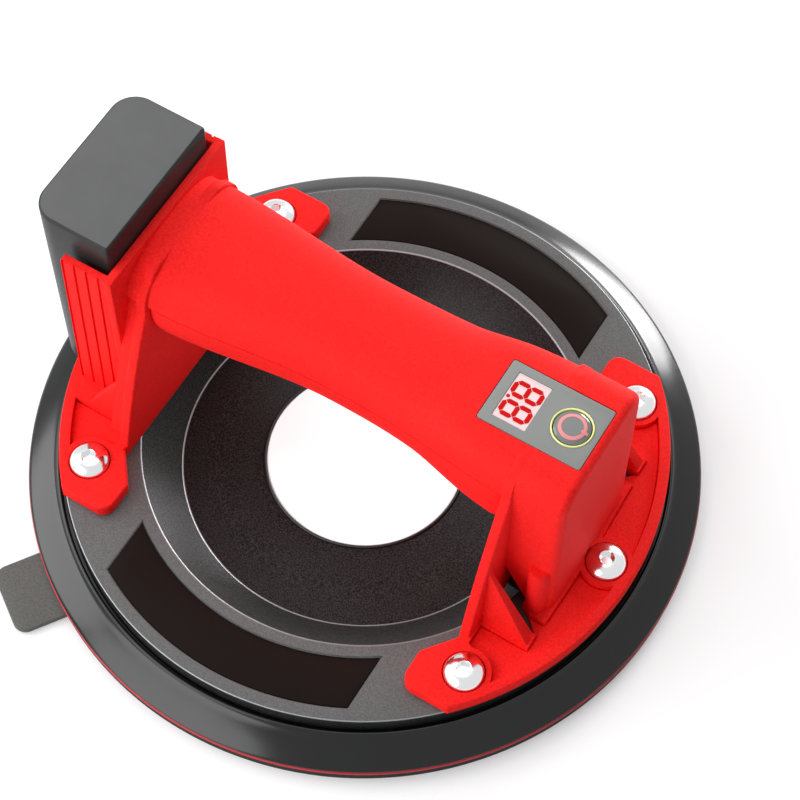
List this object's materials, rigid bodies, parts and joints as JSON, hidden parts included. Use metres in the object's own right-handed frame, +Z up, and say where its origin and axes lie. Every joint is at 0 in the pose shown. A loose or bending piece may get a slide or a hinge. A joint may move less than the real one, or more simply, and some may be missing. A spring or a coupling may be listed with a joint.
{
  "type": "electric vacuum suction cup",
  "caption": "Hand-held vacuum lifting cup: round dished base with rubber skirt and foam seal, moulded bridge handle with pump, display and slide-in battery pack.",
  "frame": {"origin": "middle of the base on the surface that the foam seal rests on", "axes": "+Z up out of the held surface; +X along the handle towards the display, -X towards the battery; +Y across the handle, away from the release tab"},
  "size_m": [0.208, 0.2076, 0.0982],
  "materials": {
    "red_abs": "moulded red ABS, satin",
    "grey_plate": "dark grey coat, fine texture",
    "black_rubber": "smooth black rubber",
    "black_foam": "closed-cell foam",
    "red_silicone": "red silicone",
    "grey_rubber": "matt grey rubber",
    "white_plastic": "plain white",
    "dark_label": "bare dark plate",
    "bright_steel": "polished",
    "zinc_steel": "zinc plated",
    "grey_panel": "satin grey overlay",
    "clear_window": "pale lit display",
    "yellow_ring": "pale yellow",
    "grey_button": "grey button cap",
    "black_abs": "black ABS",
    "battery_abs": "dark grey ABS",
    "green_board": "solder mask",
    "brass": "plain brass",
    "cell_wrap": "blue shrink sleeve",
    "felt": "filter felt",
    "clear_hose": "milky silicone hose"
  },
  "bodies": {
    "cup": {"base_plate": "grey_plate", "rubber_skirt": "black_rubber", "seal_lip": "red_silicone", "foam_seal": "black_foam", "tab_root": "grey_rubber", "centre_disc": "white_plastic", "centre_gasket": "black_rubber", "label_plate_near": "dark_label", "label_plate_far": "dark_label", "flange_bolt_1": "bright_steel", "flange_bolt_2": "bright_steel", "flange_bolt_3": "bright_steel", "flange_bolt_4": "bright_steel", "flange_bolt_5": "bright_steel", "sealing_nut_1": "zinc_steel", "sealing_nut_2": "zinc_steel", "sealing_nut_3": "zinc_steel", "sealing_nut_4": "zinc_steel", "sealing_nut_5": "zinc_steel", "handle_frame": "red_abs", "lower_shell": "red_abs", "grip_screw_1": "zinc_steel", "grip_screw_2": "zinc_steel", "grip_screw_3": "zinc_steel", "grip_screw_4": "zinc_steel", "bay_floor": "black_abs", "dock_blade_1": "brass", "dock_blade_2": "brass", "contact_block": "black_abs", "display_panel": "grey_panel", "display_window": "clear_window", "button_ring": "yellow_ring", "circuit_board": "green_board", "tact_switch": "black_abs", "display_module": "black_abs", "pressure_sensor": "black_abs", "pump_motor": "zinc_steel", "pump_head": "black_abs", "port_manifold": "black_abs", "inlet_filter": "felt", "vacuum_hose": "clear_hose", "sensor_hose": "clear_hose", "battery_lead": "black_rubber"},
    "battery": {"battery_case": "battery_abs", "battery_lid": "battery_abs", "battery_cell_1": "cell_wrap", "battery_cell_2": "cell_wrap", "battery_terminal_1": "brass", "battery_terminal_2": "brass"},
    "button": {"power_button": "grey_button"},
    "tab": {"release_tab": "grey_rubber"}
  },
  "joints": [
    {"name": "battery_slide", "type": "slide", "parent": "cup", "child": "battery", "axis": [0, 0, 1], "range_m": [0, 0.06]},
    {"name": "power_button_press", "type": "slide", "parent": "cup", "child": "button", "axis": [0, 0, -1], "range_m": [0, 0.0008], "stiffness_N_per_m": 400},
    {"name": "release_tab_flex", "type": "hinge", "parent": "cup", "child": "tab", "pos_m": [-0.05917, -0.08674, 0.0023], "axis": [-0.8261, 0.5635, 0], "range_deg": [0, 75], "stiffness_Nm_per_rad": 0.01}
  ]
}
